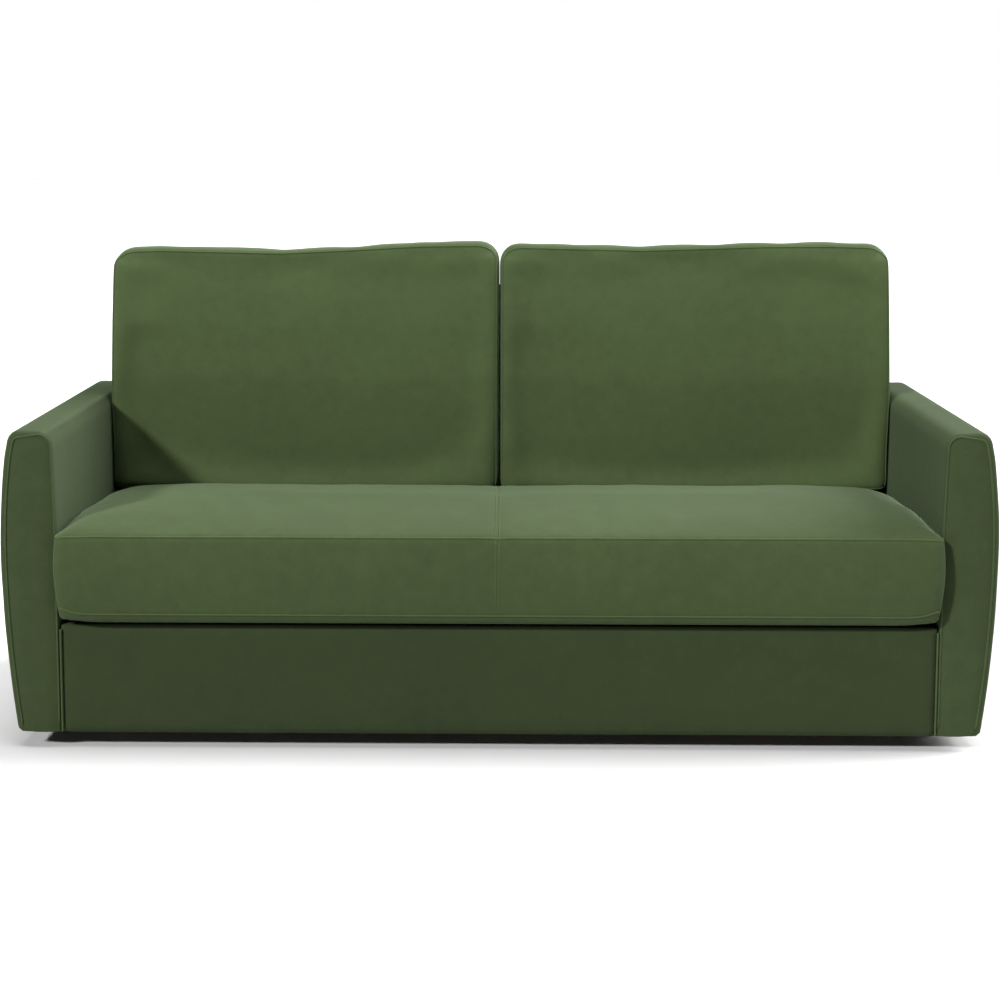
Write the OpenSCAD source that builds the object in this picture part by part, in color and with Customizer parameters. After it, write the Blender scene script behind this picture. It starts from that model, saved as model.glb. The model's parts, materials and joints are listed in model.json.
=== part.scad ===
// Three-section fold-out sofa bed: fixed carcass, seat and backrest that flip forward, three
// mattress pads and a pair of lift arms at each side. Millimetres, +X right, +Y back, +Z up,
// standing on z = 0 and centred on x and y.

/* [Overall] */
// Width over the bulge of both arms
sofa_w = 1890; // [1500:10:2400]
// Depth from the seat cushion's front to the back panel's top edge
sofa_d = 970; // [930:1:1170]
// Greatest width of an arm, at its bulge
arm_w = 105; // [90:1:130]
// Height of the arms
arm_h = 619; // [560:1:680]
// Backward lean of the backrest and the back panel, degrees
back_lean = 5; // [3:0.5:7]

/* [Carcass] */
// Height of the feet
foot_h = 32; // [30:1:60]
// Radius of a foot
foot_r = 26; // [18:1:32]
// Thickness of the upholstered front panel
front_panel_t = 24; // [20:1:26]
// How far the seat cushion stands out ahead of the arms
seat_overhang = 45; // [35:1:60]
// Thickness of the upholstered back panel
back_panel_t = 27.5; // [22:0.5:34]
// How far the top of an arm's outer side is drawn in from the bulge
arm_top_in = 20; // [0:1:26]
// How far the foot of an arm's outer side is drawn in from the bulge
arm_foot_in = 37; // [0:1:40]
// Thickness of upholstery cloth with its lining
cloth_t = 3; // [2:0.5:4]

/* [Fold-out linkage] */
// Length of a lift arm between its pivots
lift_len = 180; // [150:1:186]
// Slope of the lift arms when the bed is folded away, degrees below level
lift_start = 30; // [28:1:32]
// Turn of the lift arms from folded to open, degrees
lift_turn = 130; // [128:1:132]
// Clearance of the head frame over the front panel as it swings out
front_clear = 28; // [24:1:36]
// Clearance ahead of the front panel for the turned-over seat cushion
seat_clear = 32; // [24:1:40]
// Centreline of the head frame above the floor when folded
head_z = 45; // [43:1:50]
// Centreline of the seat frame above the floor when folded
seat_z = 242; // [238:1:244]
// Side of the square frame tube
tube = 20; // [16:1:22]
// Wall of the frame tube
tube_wall = 1.5; // [1:0.5:2]
// Radius of the pivot pins
pin_r = 6; // [5:0.5:7]
// Running clearance around each pin
pin_gap = 0.05; // [0.03:0.01:0.09]

/* [Mattress and cushions] */
// Thickness of a mattress pad
pad_t = 80; // [66:0.1:84]
// Length of the head pad
head_len = 668; // [600:1:690]
// Length of the foot pad and the backrest frame
foot_len = 598; // [540:1:610]
// Width left beside the mattress pads, at each side, for the frame and its links
side_gap = 40; // [39:0.5:46]
// Thickness of the seat cushion at its crown
seat_t = 188; // [150:1:200]
// Thickness of a back cushion low down
back_t = 140; // [110:1:170]
// Height of a back cushion along the backrest
back_len = 522; // [450:1:530]

/* [Hidden] */
$fn = 48;
half_w = sofa_w / 2;
seat_gap = sofa_w - 2 * arm_w;
half_gap = seat_gap / 2;
pad_w = seat_gap - 2 * side_gap;
arm_front = -sofa_d / 2 + seat_overhang;

// Rounding, rebate and slot sizes shared by several parts
slip = 0.2;
core_slip = 0.3;
pad_edge_r = 14;

// Backrest hinge, placed so that the leaning back panel ends at the overall depth
pad_lift = tube / 2 + 2;
pad_to_panel = 8;
panel_in = pad_lift + pad_t + pad_to_panel;
panel_out = panel_in + back_panel_t;
panel_top = 608;
hinge_y = sofa_d / 2 - panel_top * sin(back_lean) - panel_out * cos(back_lean);

// Front hinge: halfway between the two frames, so that they end level when flipped, and far
// enough forward for the turned-over seat cushion to pass the front panel
lift_travel = lift_len * (cos(lift_start) - cos(lift_turn - lift_start));
fold_y = (arm_front - sofa_d / 2 - seat_clear + lift_travel) / 2;
fold_z = (head_z + seat_z) / 2;

// The front panel is as tall as the head frame's swing over it allows
swing_over = 50;
front_panel_top = head_z - tube / 2 + lift_len * (sin(swing_over) + sin(lift_start)) - front_clear;

// Frame tubes side by side with the lift arms and plates, from the middle outwards
rail_in = pad_w / 2 + 3;
rail_out = rail_in + tube;
plate_t = 4;
plate_in = rail_out + 0.5;
plate_out = plate_in + plate_t + 0.5;
lift_t = 6;
lift_in = rail_out + 2;
lift_out = lift_in + lift_t;
bracket_t = 5;
bracket_in = half_gap - bracket_t;
bracket_half_h = 30;
bracket_ahead = 45;
bracket_behind = 55;
head_cap_t = 0.8;

// Lift arm pivots, front and rear
lift_y = [fold_y + 129, fold_y + 389];
lift_z = head_z + lift_len * sin(lift_start);
lift_reach = lift_len * cos(lift_start);
lift_boss_r = 18;
bolt_r = 4;
bolt_y = [fold_y + 100, fold_y + 195, fold_y + 365, fold_y + 430];
bolt_len = 36;

// Slats
slat_w = 60;
slat_t = 12;
slat_cap_l = 34;
slat_cap_wall = 2;
slat_fit = 0.2;
slat_margin = 40;
head_slat_n = 6;
seat_slat_n = 5;
back_slat_n = 5;
seat_len = hinge_y - fold_y;
edge = 2;

// Stowed legs
leg_tube = 18;
leg_y = hinge_y - 70;
leg_x = rail_in - 15;
leg_z = seat_z + tube / 2 + 14;
leg_pin_r = 5;
leg_open_z = 2 * fold_z - leg_z + lift_len * (sin(lift_turn - lift_start) + sin(lift_start));
leg_len = leg_open_z - 1.3;
leg_cap_l = 30;

// Rounded corner of a polygon: the points of an arc of radius r that cuts corner p
function unit(v) = v / norm(v);
function turn(a, b) = ((b - a + 540) % 360) - 180;
function corner(p, a, b, r, n) =
  let (
    u = unit(a - p),
    w = unit(b - p),
    half = acos(u * w) / 2,
    c = p + unit(u + w) * r / sin(half),
    s = p + u * r / tan(half) - c,
    e = p + w * r / tan(half) - c,
    t0 = atan2(s.y, s.x),
    dt = turn(t0, atan2(e.y, e.x))
  ) [for (i = [0:n]) c + r * [cos(t0 + dt * i / n), sin(t0 + dt * i / n)]];

// Closed outline from corners given as [x, y, radius]
function outline(c, n = 6) =
  let (k = len(c))
  [for (i = [0:k - 1])
    let (
      p = [c[i][0], c[i][1]],
      a = [c[(i + k - 1) % k][0], c[(i + k - 1) % k][1]],
      b = [c[(i + 1) % k][0], c[(i + 1) % k][1]]
    )
    each (c[i][2] > 0 ? corner(p, a, b, c[i][2], n) : [p])];

module both() {
  children();
  mirror([1, 0, 0]) children();
}

// Extrudes a (y, z) outline along X between x0 and x1
module along_x(x0, x1) {
  translate([x0, 0, 0]) rotate([90, 0, 90]) linear_extrude(x1 - x0) children();
}

module rod_x(x0, x1, r) {
  translate([x0, 0, 0]) rotate([0, 90, 0]) cylinder(h = x1 - x0, r = r);
}

module rod_y(y0, y1, r) {
  translate([0, y1, 0]) rotate([90, 0, 0]) cylinder(h = y1 - y0, r = r);
}

// Local frame of the backrest: +Y out of its rear, +Z up along it, hinge at the origin
module on_back() {
  translate([0, hinge_y, seat_z]) rotate([-back_lean, 0, 0]) children();
}

// Each bed section is drawn lying flat: +Y away from its hinge, +Z towards its mattress pad
module on_head() {
  translate([0, fold_y, head_z]) children();
}

module on_seat() {
  translate([0, fold_y, seat_z]) mirror([0, 0, 1]) children();
}

module on_backrest() {
  on_back() rotate([90, 0, 0]) mirror([0, 0, 1]) children();
}

// Square tubes of a bed section, open ended
module side_tube(y0, y1, side = tube) {
  translate([-side / 2, y0, -side / 2]) difference() {
    cube([side, y1 - y0, side]);
    translate([tube_wall, -1, tube_wall])
      cube([side - 2 * tube_wall, y1 - y0 + 2, side - 2 * tube_wall]);
  }
}

module section_side(y0, y1) {
  translate([rail_in + tube / 2, 0, 0]) side_tube(y0, y1);
}

module section_cross(ys) {
  for (y = ys)
    translate([0, y, 0]) rotate([0, 0, 90]) side_tube(-rail_in, rail_in);
}

module section_slats(ys) {
  z0 = tube / 2 - slat_t;
  for (y = ys)
    translate([-rail_in + slat_cap_wall, y - slat_w / 2, z0])
      cube([2 * (rail_in - slat_cap_wall), slat_w, slat_t]);
}

module section_slat_caps(ys) {
  z0 = tube / 2 - slat_t;
  w = slat_w + 2 * slat_cap_wall;
  for (y = ys)
    both() difference() {
      translate([rail_in - slat_cap_l, y - w / 2, z0 - slat_cap_wall + 0.3])
        cube([slat_cap_l, w, slat_t + 2 * slat_cap_wall - 0.6]);
      translate([rail_in - slat_cap_l - 1, y - slat_w / 2 - slat_fit, z0 - slat_fit])
        cube([slat_cap_l - slat_cap_wall + 1, slat_w + 2 * slat_fit, slat_t + 2 * slat_fit]);
    }
}

// Mattress pad with rounded edges, lying on the section's slats
module section_pad(y0, y1) {
  along_x(-pad_w / 2, pad_w / 2)
    polygon(outline([
      [y0, pad_lift, pad_edge_r],
      [y1, pad_lift, pad_edge_r],
      [y1, pad_lift + pad_t, pad_edge_r],
      [y0, pad_lift + pad_t, pad_edge_r]
    ]));
}

// Evenly spaced slat centres between two limits
function spread(y0, y1, n) = [for (i = [0:n - 1]) y0 + (y1 - y0) * i / (n - 1)];

head_end = head_len + edge;
head_cross = [edge + tube / 2, head_end - tube / 2];
head_slat_y = spread(edge + tube + slat_margin, head_end - tube - slat_margin, head_slat_n);
seat_end = seat_len - tube / 2 - 4;
seat_cross = [edge + tube / 2, leg_y - fold_y, seat_end - tube / 2];
seat_slat_y = spread(edge + tube + slat_margin, leg_y - fold_y - tube / 2 - slat_margin - 2, seat_slat_n);
back_start = tube / 2 + 4;
back_end = foot_len + edge;
back_cross = [back_start + tube / 2, back_end - tube / 2];
back_slat_y = spread(back_start + tube + slat_margin, back_end - tube - slat_margin, back_slat_n);

// ---------- arms ----------

// Outer side of the arm: fullest above the middle, drawn in towards the floor
bulge_z = 0.63 * arm_h;
arm_top_out = half_w - arm_top_in;
arm_lean_in = 12;
arm_lean_z = 0.7 * arm_h;
arm_inner_r = 16;
arm_outer_r = 22;
arm_crown_h = 45;
arm_steps = 13;
function arm_out(z) =
  half_w - (z > bulge_z
    ? arm_top_in * pow((z - bulge_z) / (arm_h - bulge_z), 2)
    : arm_foot_in * pow((bulge_z - z) / (bulge_z - foot_h), 2));

// Arm outline seen from the front, drawn in by t all round
function arm_outline(t) =
  let (
    top = arm_h - t,
    inner_top = half_gap + arm_lean_in + t,
    z0 = foot_h + t,
    side_top = top - arm_crown_h,
    side_low = z0 + 20,
    zs = [for (i = [0:arm_steps]) side_low + (side_top - side_low) * i / arm_steps]
  )
  concat(
    [[half_gap + t, z0], [half_gap + t, arm_lean_z]],
    corner([inner_top, top - 3], [half_gap + t, arm_lean_z], [arm_top_out - 20, top],
      arm_inner_r - t, 5),
    corner([arm_top_out - 2 - t, top - 1], [inner_top + 20, top],
      [arm_out(side_top) - t, side_top], arm_outer_r - t, 6),
    [for (i = [arm_steps:-1:0]) [arm_out(zs[i]) - t, zs[i]]],
    [[arm_out(z0) - 8 - t, z0]]
  );

// Solid arm between its front and its leaning rear end
module arm_body(t, y0, rear) {
  difference() {
    translate([0, y0, 0]) rotate([90, 0, 0]) mirror([0, 0, 1])
      linear_extrude(sofa_d - (y0 - arm_front)) polygon(arm_outline(t));
    on_back() translate([0, rear, -sofa_d]) cube([sofa_w, sofa_d, 3 * sofa_d]);
  }
}

arm_rear = panel_out + 9.5;
arm_face_t = 8;
frame_t = 22;
frame_x = half_gap + arm_lean_in + 3 + cloth_t;

module bolt_holes(gap) {
  for (y = bolt_y)
    translate([0, y, lift_z])
      rod_x(bracket_in - 1, bracket_in + bracket_t + bolt_len + 1, bolt_r + gap);
}

module arm_cover() {
  difference() {
    arm_body(0, arm_front + arm_face_t, arm_rear);
    arm_body(cloth_t, arm_front, arm_rear - cloth_t);
    bolt_holes(pin_gap);
  }
}

// Timber frame inside an arm, two rails and two posts: grown by gap for the pocket that holds it
member_w = 60;
low_rail_h = 130;
module arm_frame_members(joint, gap) {
  y0 = arm_front + 24 - gap;
  y1 = hinge_y + 92 + gap;
  low_top = foot_h + 14 + low_rail_h;
  high_base = arm_h - 80;
  x0 = frame_x - gap;
  w = frame_t + 2 * gap;
  translate([x0, y0, low_top - low_rail_h - gap]) cube([w, y1 - y0, low_rail_h + 2 * gap]);
  translate([x0, y0, high_base - gap]) cube([w, y1 - y0, member_w + 2 * gap]);
  for (y = [y0, y1 - member_w - 2 * gap])
    translate([x0, y, low_top + joint])
      cube([w, member_w + 2 * gap, high_base - low_top - 2 * joint]);
}

module arm_frame() {
  difference() {
    arm_frame_members(0.1, 0);
    bolt_holes(pin_gap);
  }
}

module arm_padding() {
  difference() {
    arm_body(cloth_t + slip, arm_front + arm_face_t + slip, arm_rear - cloth_t - slip);
    arm_frame_members(-1, core_slip);
    bolt_holes(pin_gap + slip);
  }
}

module arm_front_panel() {
  translate([0, arm_front + arm_face_t - slip, 0]) rotate([90, 0, 0])
    linear_extrude(arm_face_t - slip) polygon(arm_outline(0));
}

module arm_cover_left() { color("darkolivegreen") mirror([1, 0, 0]) arm_cover(); }
module arm_cover_right() { color("darkolivegreen") arm_cover(); }
module arm_padding_left() { color("wheat") mirror([1, 0, 0]) arm_padding(); }
module arm_padding_right() { color("wheat") arm_padding(); }
module arm_frame_left() { color("tan") mirror([1, 0, 0]) arm_frame(); }
module arm_frame_right() { color("tan") arm_frame(); }
module arm_front_panel_left() { color("olivedrab") mirror([1, 0, 0]) arm_front_panel(); }
module arm_front_panel_right() { color("olivedrab") arm_front_panel(); }

// ---------- front and back panels ----------

soft_side = 2;
panel_w = seat_gap - 2 * soft_side;
panel_lift = 2;
lining = cloth_t + slip;

module front_board() {
  color("tan") translate([-panel_w / 2 + lining, arm_front + lining, foot_h + panel_lift])
    cube([panel_w - 2 * lining, front_panel_t - 2 * lining,
      front_panel_top - foot_h - panel_lift - lining]);
}

module front_cover() {
  color("olivedrab") difference() {
    translate([-panel_w / 2, arm_front, foot_h])
      cube([panel_w, front_panel_t, front_panel_top - foot_h]);
    translate([-panel_w / 2 + cloth_t, arm_front + cloth_t, foot_h - 1])
      cube([panel_w - 2 * cloth_t, front_panel_t - 2 * cloth_t,
        front_panel_top - foot_h + 1 - cloth_t]);
  }
}

// Upright welt at each end of the front panel
welt_r = 1.8;
module front_piping() {
  color("olivedrab") both()
    translate([half_gap - welt_r - core_slip, arm_front - welt_r - slip, foot_h + 1])
      cylinder(h = front_panel_top - foot_h - 2, r = welt_r);
}

back_low = -(seat_z - foot_h);

module back_board() {
  color("burlywood") on_back()
    translate([-panel_w / 2 + lining, panel_in + lining, back_low + panel_lift])
      cube([panel_w - 2 * lining, back_panel_t - 2 * lining,
        panel_top - back_low - panel_lift - lining]);
}

module back_cover() {
  color("darkolivegreen") on_back() difference() {
    translate([-panel_w / 2, panel_in, back_low])
      cube([panel_w, back_panel_t, panel_top - back_low]);
    translate([-panel_w / 2 + cloth_t, panel_in + cloth_t, back_low - 1])
      cube([panel_w - 2 * cloth_t, back_panel_t - 2 * cloth_t, panel_top - back_low + 1 - cloth_t]);
  }
}

// Timber rail across the foot of the back panel, inside the carcass
rail_h = 70;
rail_t = 24;
module rear_rail() {
  color("tan") on_back()
    translate([-half_gap + 0.5, panel_in - rail_t - 0.5, back_low + 4])
      cube([seat_gap - 1, rail_t, rail_h]);
}

// Feet under the arms, the front pair well back from the front edge
foot_y = [arm_front + 165, hinge_y + 50];
foot_edge_h = 6;

module feet() {
  color("dimgray") both() for (y = foot_y)
    translate([(half_gap + arm_out(foot_h)) / 2 - 2, y, 0]) {
      cylinder(h = foot_edge_h, r1 = foot_r - 3, r2 = foot_r);
      translate([0, 0, foot_edge_h]) cylinder(h = foot_h - foot_edge_h, r = foot_r);
    }
}

// ---------- mechanism on the carcass ----------

module side_bracket() {
  difference() {
    translate([bracket_in, lift_y[0] - bracket_ahead, lift_z - bracket_half_h])
      cube([bracket_t, lift_y[1] - lift_y[0] + bracket_ahead + bracket_behind, 2 * bracket_half_h]);
    for (y = lift_y)
      translate([0, y, lift_z]) rod_x(bracket_in - 1, half_gap + 1, pin_r + pin_gap);
    bolt_holes(pin_gap);
  }
}

module side_bracket_left() { color("silver") mirror([1, 0, 0]) side_bracket(); }
module side_bracket_right() { color("silver") side_bracket(); }

module bracket_bolts() {
  color("gray") both() for (y = bolt_y)
    translate([0, y, lift_z]) {
      rod_x(bracket_in, bracket_in + bracket_t + bolt_len, bolt_r);
      rod_x(bracket_in - 3, bracket_in, 2 * bolt_r);
    }
}

module base_pivot_pins() {
  color("gray") both() for (y = lift_y)
    translate([0, y, lift_z]) {
      rod_x(lift_in - 0.1, half_gap, pin_r);
      rod_x(lift_in - 0.1 - head_cap_t, lift_in - 0.1, pin_r + 3);
    }
}

// ---------- lift arms ----------

// Flat steel link between its base pivot and its pivot on the head frame
module lift_arm(y) {
  difference() {
    translate([lift_in, y, lift_z]) rotate([-lift_start, 0, 0]) {
      rod_x(0, lift_t, lift_boss_r);
      translate([0, lift_len, 0]) rod_x(0, lift_t, lift_boss_r);
      translate([0, 0, -lift_boss_r]) cube([lift_t, lift_len, 2 * lift_boss_r]);
    }
    translate([0, y, lift_z]) rod_x(lift_in - 1, lift_out + 1, pin_r + pin_gap);
    translate([0, y + lift_reach, head_z]) rod_x(lift_in - 1, lift_out + 1, pin_r + pin_gap);
  }
}

module lift_arm_front_left() { color("silver") mirror([1, 0, 0]) lift_arm(lift_y[0]); }
module lift_arm_front_right() { color("silver") lift_arm(lift_y[0]); }
module lift_arm_rear_left() { color("silver") mirror([1, 0, 0]) lift_arm(lift_y[1]); }
module lift_arm_rear_right() { color("silver") lift_arm(lift_y[1]); }

// ---------- head section ----------

module head_side() { on_head() section_side(edge, head_end); }
module head_side_rail_left() { color("dimgray") mirror([1, 0, 0]) head_side(); }
module head_side_rail_right() { color("dimgray") head_side(); }
module head_cross_rails() { color("dimgray") on_head() section_cross(head_cross); }
module head_slats() { color("burlywood") on_head() section_slats(head_slat_y); }
module head_slat_caps() { color("dimgray") on_head() section_slat_caps(head_slat_y); }
module mattress_head() { color("white") on_head() section_pad(edge, head_end - 5); }

// Studs on the head frame that carry the tops of the lift arms
module lift_studs() {
  color("gray") both() for (y = lift_y)
    translate([0, y + lift_reach, head_z]) {
      rod_x(rail_out, lift_out + 0.2, pin_r);
      rod_x(lift_out + 0.2, lift_out + 0.2 + 2 * head_cap_t, pin_r + 3);
    }
}

// Hinge plate outline in a section's frame: a foot on the side tube and an eye at the hinge
eye_r = 13;
plate_foot = 42;
plate_reach = 60;
module plate_face(dz) {
  polygon([
    [edge, -tube / 2],
    [plate_foot, -tube / 2],
    [plate_foot, tube / 2],
    [eye_r - 1, dz],
    [-eye_r * 0.4, dz],
    [edge, tube / 2]
  ]);
  translate([0, dz]) circle(r = eye_r);
}

module head_hinge_plates() {
  color("silver") on_head() both() difference() {
    along_x(rail_out, plate_in + plate_t) plate_face(fold_z - head_z);
    translate([0, 0, fold_z - head_z]) rod_x(rail_out - 1, plate_out, pin_r - 1);
  }
}

module head_hinge_pins() {
  color("gray") both() translate([0, fold_y, fold_z]) {
    rod_x(rail_out + 1, plate_out + plate_t + 0.3, pin_r - 1 - pin_gap);
    rod_x(plate_out + plate_t + 0.3, plate_out + plate_t + 0.3 + head_cap_t, pin_r + 2);
  }
}

// ---------- seat section ----------

module seat_side() { on_seat() section_side(edge, seat_end); }
module seat_side_rail_left() { color("dimgray") mirror([1, 0, 0]) seat_side(); }
module seat_side_rail_right() { color("dimgray") seat_side(); }
module seat_cross_rails() { color("dimgray") on_seat() section_cross(seat_cross); }
module seat_slats() { color("burlywood") on_seat() section_slats(seat_slat_y); }
module seat_slat_caps() { color("dimgray") on_seat() section_slat_caps(seat_slat_y); }
module mattress_middle() { color("white") on_seat() section_pad(edge, seat_len - 3); }

// Plates at the seat section's front hinge, and the rear pair that carries the backrest's hinge
module seat_hinge_plates() {
  color("silver") {
    on_seat() both() difference() {
      union() {
        along_x(plate_out, plate_out + plate_t) plate_face(seat_z - fold_z);
        translate([rail_out, edge, -tube / 2]) cube([plate_out - rail_out, 40 - edge, tube]);
      }
      translate([0, 0, seat_z - fold_z]) rod_x(plate_in, plate_out + plate_t + 1, pin_r - 1);
    }
    translate([0, hinge_y, seat_z]) both() difference() {
      along_x(rail_out, plate_in + plate_t) {
        circle(r = eye_r);
        translate([-plate_reach, -tube / 2]) square([plate_reach, tube]);
      }
      rod_x(rail_out - 1, plate_out, pin_r - 1);
    }
  }
}

module back_hinge_pins() {
  color("gray") both() translate([0, hinge_y, seat_z]) {
    rod_x(rail_out + 1, plate_out + plate_t + 0.3, pin_r - 1 - pin_gap);
    rod_x(plate_out + plate_t + 0.3, plate_out + plate_t + 0.3 + head_cap_t, pin_r + 2);
  }
}

// Thin panel that carries each cushion, with its gap to the frame and the cushion
support_t = 4;
support_gap = 0.5;
support_inset = 15;
cushion_z = seat_z + tube / 2 + support_t + 2 * support_gap;
back_depth = 105;
cushion_back = hinge_y - back_depth;

module seat_support_panel() {
  color("burlywood")
    translate([-pad_w / 2, fold_y + support_inset, cushion_z - support_t - support_gap])
      cube([pad_w, cushion_back - fold_y - support_inset, support_t]);
}

seat_low_r = 26;
seat_rear_low_r = 16;
seat_rear_r = 22;
seat_nose_r = 34;
seat_crown_r = 200;
crown_r = 300;
seat_crown_y = -sofa_d / 2 + 160;

// Side outline of the seat cushion, crowned behind its front edge, drawn in by t
function seat_outline(t) = outline([
  [-sofa_d / 2 + t, cushion_z + t, seat_low_r - t],
  [cushion_back - t, cushion_z + t, seat_rear_low_r - t],
  [cushion_back - t, cushion_z + 0.86 * seat_t - t, seat_rear_r - t],
  [cushion_back - 200, cushion_z + 0.95 * seat_t - t, crown_r],
  [seat_crown_y, cushion_z + seat_t - t, seat_crown_r],
  [-sofa_d / 2 + t, cushion_z + 0.9 * seat_t - t, seat_nose_r - t]
]);

seat_half = half_gap - soft_side;

module seat_cushion_cover() {
  color("olivedrab") difference() {
    along_x(-seat_half, seat_half) polygon(seat_outline(0));
    along_x(-seat_half + cloth_t, seat_half - cloth_t) polygon(seat_outline(cloth_t));
  }
}

module seat_cushion_core() {
  color("wheat") along_x(-seat_half + cloth_t + core_slip, seat_half - cloth_t - core_slip)
    polygon(seat_outline(cloth_t + core_slip));
}

ear_half_w = 14;
ear_drop = 6;

module leg_brackets() {
  color("silver") both() difference() {
    for (y = [leg_y - tube / 2 - plate_t, leg_y + tube / 2])
      translate([leg_x - ear_half_w, y, seat_z - ear_drop])
        cube([2 * ear_half_w, plate_t, leg_z + ear_half_w - seat_z + ear_drop]);
    translate([leg_x, 0, leg_z]) rod_y(leg_y - tube, leg_y + tube, leg_pin_r + pin_gap);
  }
}

module leg_pins() {
  color("gray") both() translate([leg_x, leg_y, leg_z]) {
    rod_y(-tube / 2 - plate_t - 1, tube / 2 + plate_t, leg_pin_r);
    rod_y(tube / 2 + plate_t, tube / 2 + plate_t + 2, leg_pin_r + 3);
  }
}

// ---------- stowed legs ----------

module leg() {
  difference() {
    translate([leg_x - leg_len + 4, leg_y - leg_tube / 2, leg_z - leg_tube / 2])
      cube([leg_len + 4, leg_tube, leg_tube]);
    translate([leg_x - leg_len, leg_y - leg_tube / 2 + tube_wall, leg_z - leg_tube / 2 + tube_wall])
      cube([leg_len + 20, leg_tube - 2 * tube_wall, leg_tube - 2 * tube_wall]);
    translate([leg_x, 0, leg_z]) rod_y(leg_y - tube, leg_y + tube, leg_pin_r + pin_gap);
  }
}

// Plastic shoe over the free end of a leg
module leg_shoe() {
  difference() {
    translate([leg_x - leg_len, leg_y - leg_tube / 2 - 1, leg_z - leg_tube / 2 - 1])
      cube([leg_cap_l, leg_tube + 2, leg_tube + 2]);
    translate([leg_x - leg_len + 3.9, leg_y - leg_tube / 2 - 0.1, leg_z - leg_tube / 2 - 0.1])
      cube([leg_cap_l, leg_tube + 0.2, leg_tube + 0.2]);
  }
}

module leg_left() { color("dimgray") mirror([1, 0, 0]) leg(); }
module leg_right() { color("dimgray") leg(); }
module leg_shoe_left() { color("black") mirror([1, 0, 0]) leg_shoe(); }
module leg_shoe_right() { color("black") leg_shoe(); }

// ---------- backrest section ----------

module back_side() { on_backrest() section_side(back_start, back_end); }
module back_side_rail_left() { color("dimgray") mirror([1, 0, 0]) back_side(); }
module back_side_rail_right() { color("dimgray") back_side(); }
module back_cross_rails() { color("dimgray") on_backrest() section_cross(back_cross); }
module back_slats() { color("burlywood") on_backrest() section_slats(back_slat_y); }
module back_slat_caps() { color("dimgray") on_backrest() section_slat_caps(back_slat_y); }
module mattress_foot() { color("white") on_backrest() section_pad(3, back_end); }

module back_hinge_plates() {
  color("silver") on_back() both() difference() {
    union() {
      along_x(plate_out, plate_out + plate_t) {
        circle(r = eye_r);
        translate([-tube / 2, 0]) square([tube, plate_reach]);
      }
      translate([rail_out, -tube / 2, eye_r + 5])
        cube([plate_out - rail_out, tube, plate_reach - 5 - eye_r]);
    }
    rod_x(plate_in, plate_out + plate_t + 1, pin_r - 1);
  }
}

module back_support_panel() {
  color("burlywood") on_back()
    translate([-pad_w / 2, -tube / 2 - support_gap - support_t, back_start])
      cube([pad_w, support_t, back_end - back_start]);
}

cushion_low = 170;
back_low_r = 12;
back_edge_r = 30;

// Side outline of a back cushion in the backrest's frame, thinner towards its top
function back_outline(t) =
  let (
    n0 = -tube / 2 - support_t - 2 * support_gap,
    s1 = cushion_low + back_len
  )
  outline([
    [n0 - t, cushion_low + t, back_low_r - t],
    [n0 - t, s1 - t, back_edge_r - t],
    [n0 - 0.62 * back_t + t, s1 - t, back_edge_r - t],
    [n0 - back_t + t, cushion_low + 0.45 * back_len, crown_r],
    [n0 - 0.97 * back_t + t, cushion_low + t, back_edge_r - t]
  ]);

back_x = [1.5, half_gap - soft_side];

module back_cover_shell() {
  on_back() difference() {
    along_x(back_x[0], back_x[1]) polygon(back_outline(0));
    along_x(back_x[0] + cloth_t, back_x[1] - cloth_t) polygon(back_outline(cloth_t));
  }
}

module back_core() {
  on_back() along_x(back_x[0] + cloth_t + core_slip, back_x[1] - cloth_t - core_slip)
    polygon(back_outline(cloth_t + core_slip));
}

module back_cushion_left() { color("olivedrab") mirror([1, 0, 0]) back_cover_shell(); }
module back_cushion_right() { color("olivedrab") back_cover_shell(); }
module back_cushion_cores() { color("wheat") both() back_core(); }

arm_cover_left();
arm_cover_right();
arm_padding_left();
arm_padding_right();
arm_frame_left();
arm_frame_right();
arm_front_panel_left();
arm_front_panel_right();
front_board();
front_cover();
front_piping();
back_board();
back_cover();
rear_rail();
feet();
side_bracket_left();
side_bracket_right();
bracket_bolts();
base_pivot_pins();
lift_arm_front_left();
lift_arm_front_right();
lift_arm_rear_left();
lift_arm_rear_right();
head_side_rail_left();
head_side_rail_right();
head_cross_rails();
head_slats();
head_slat_caps();
mattress_head();
lift_studs();
head_hinge_plates();
head_hinge_pins();
seat_side_rail_left();
seat_side_rail_right();
seat_cross_rails();
seat_slats();
seat_slat_caps();
mattress_middle();
seat_hinge_plates();
back_hinge_pins();
seat_support_panel();
seat_cushion_cover();
seat_cushion_core();
leg_brackets();
leg_pins();
leg_left();
leg_right();
leg_shoe_left();
leg_shoe_right();
back_side_rail_left();
back_side_rail_right();
back_cross_rails();
back_slats();
back_slat_caps();
mattress_foot();
back_hinge_plates();
back_support_panel();
back_cushion_left();
back_cushion_right();
back_cushion_cores();
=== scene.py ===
import json
import math

import bmesh
import bpy
import numpy as np
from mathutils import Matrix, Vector, noise

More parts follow.
